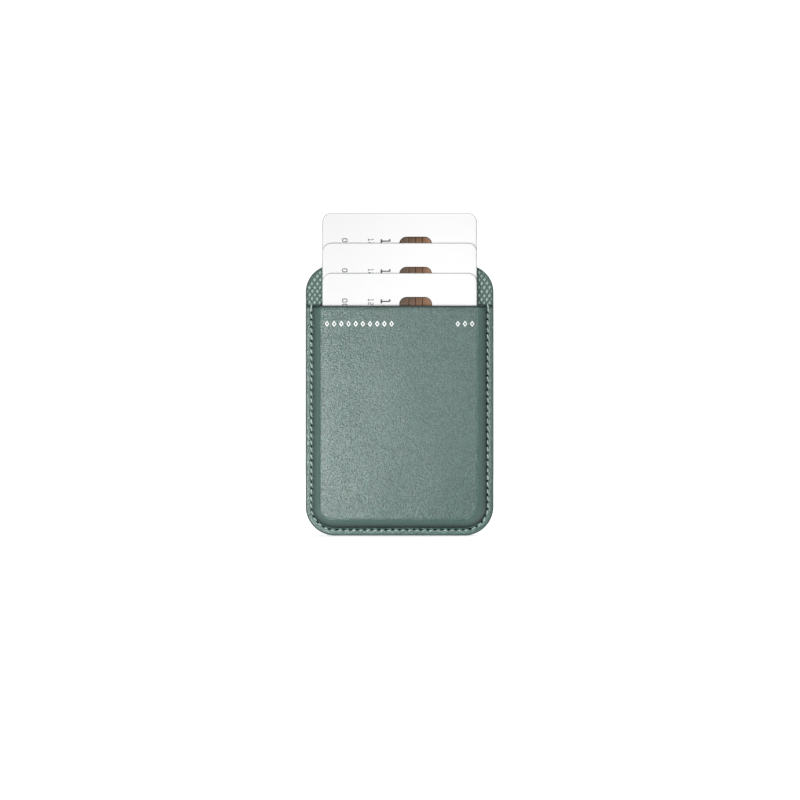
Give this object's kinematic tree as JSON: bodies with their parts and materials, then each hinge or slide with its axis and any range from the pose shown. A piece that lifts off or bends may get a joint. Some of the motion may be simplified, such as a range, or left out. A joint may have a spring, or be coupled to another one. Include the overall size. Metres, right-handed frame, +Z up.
{
  "type": "card holder",
  "caption": "Slim upright leather card wallet with a moulded, sewn front pocket and a magnetic back panel, holding payment cards that slide up out of its mouth.",
  "frame": {"origin": "centre of the magnet ring on the outer face of the back leather, where a phone or a magnetic plate holds the wallet", "axes": "+Z up towards the pocket mouth, +X right as seen from the front, +Y out of the back face, so the front faces -Y"},
  "size_m": [0.0656, 0.0074, 0.1127],
  "materials": {
    "front_leather": "fine pebbled, semi-matt, sage green",
    "back_leather": "fine pebbled, semi-matt, sage green",
    "lining_leather": "embossed with small diamonds, matt",
    "pocket_lining": "microfibre, matt",
    "fibre_board": "bonded fibre board",
    "stiffener_sheet": "matt sheet",
    "magnet_plating": "nickel plated",
    "yoke_steel": "plain cold-rolled steel",
    "shield_foil": "thin soft-iron foil",
    "tape": "translucent bonding tape",
    "edge_paint": "dark green, satin",
    "thread": "two-ply polyester, pale sage green",
    "foil": "white transfer foil",
    "card_plastic": "white laminate, satin",
    "chip_contact": "copper-brown plated contacts, satin",
    "magnetic_stripe": "dark, gloss",
    "signature_panel": "matt writing panel"
  },
  "bodies": {
    "holder": {"back_leather": "back_leather", "magnet_carrier": "fibre_board", "ring_magnets": "magnet_plating", "magnet_yoke": "yoke_steel", "alignment_magnet": "magnet_plating", "shield_sheet": "shield_foil", "back_lining": "lining_leather", "front_leather": "front_leather", "front_stiffener": "stiffener_sheet", "front_lining": "pocket_lining", "seam_tape": "tape", "mouth_edge_paint": "edge_paint", "rim_edge_paint": "edge_paint", "needle_thread": "thread", "bobbin_thread": "thread", "foil_mark_left": "foil", "foil_mark_right": "foil"},
    "card_rear": {"rear_card": "card_plastic", "rear_card_chip": "chip_contact", "rear_card_stripe": "magnetic_stripe", "rear_card_signature": "signature_panel"},
    "card_middle": {"middle_card": "card_plastic", "middle_card_chip": "chip_contact", "middle_card_stripe": "magnetic_stripe", "middle_card_signature": "signature_panel"},
    "card_front": {"front_card": "card_plastic", "front_card_chip": "chip_contact", "front_card_stripe": "magnetic_stripe", "front_card_signature": "signature_panel"}
  },
  "joints": [
    {"name": "rear_card_slide", "type": "slide", "parent": "holder", "child": "card_rear", "axis": [0, 0, 1], "range_m": [-0.022, 0.069]},
    {"name": "middle_card_slide", "type": "slide", "parent": "holder", "child": "card_middle", "axis": [0, 0, 1], "range_m": [-0.0115, 0.08]},
    {"name": "front_card_slide", "type": "slide", "parent": "holder", "child": "card_front", "axis": [0, 0, 1], "range_m": [-0.001, 0.09]}
  ]
}
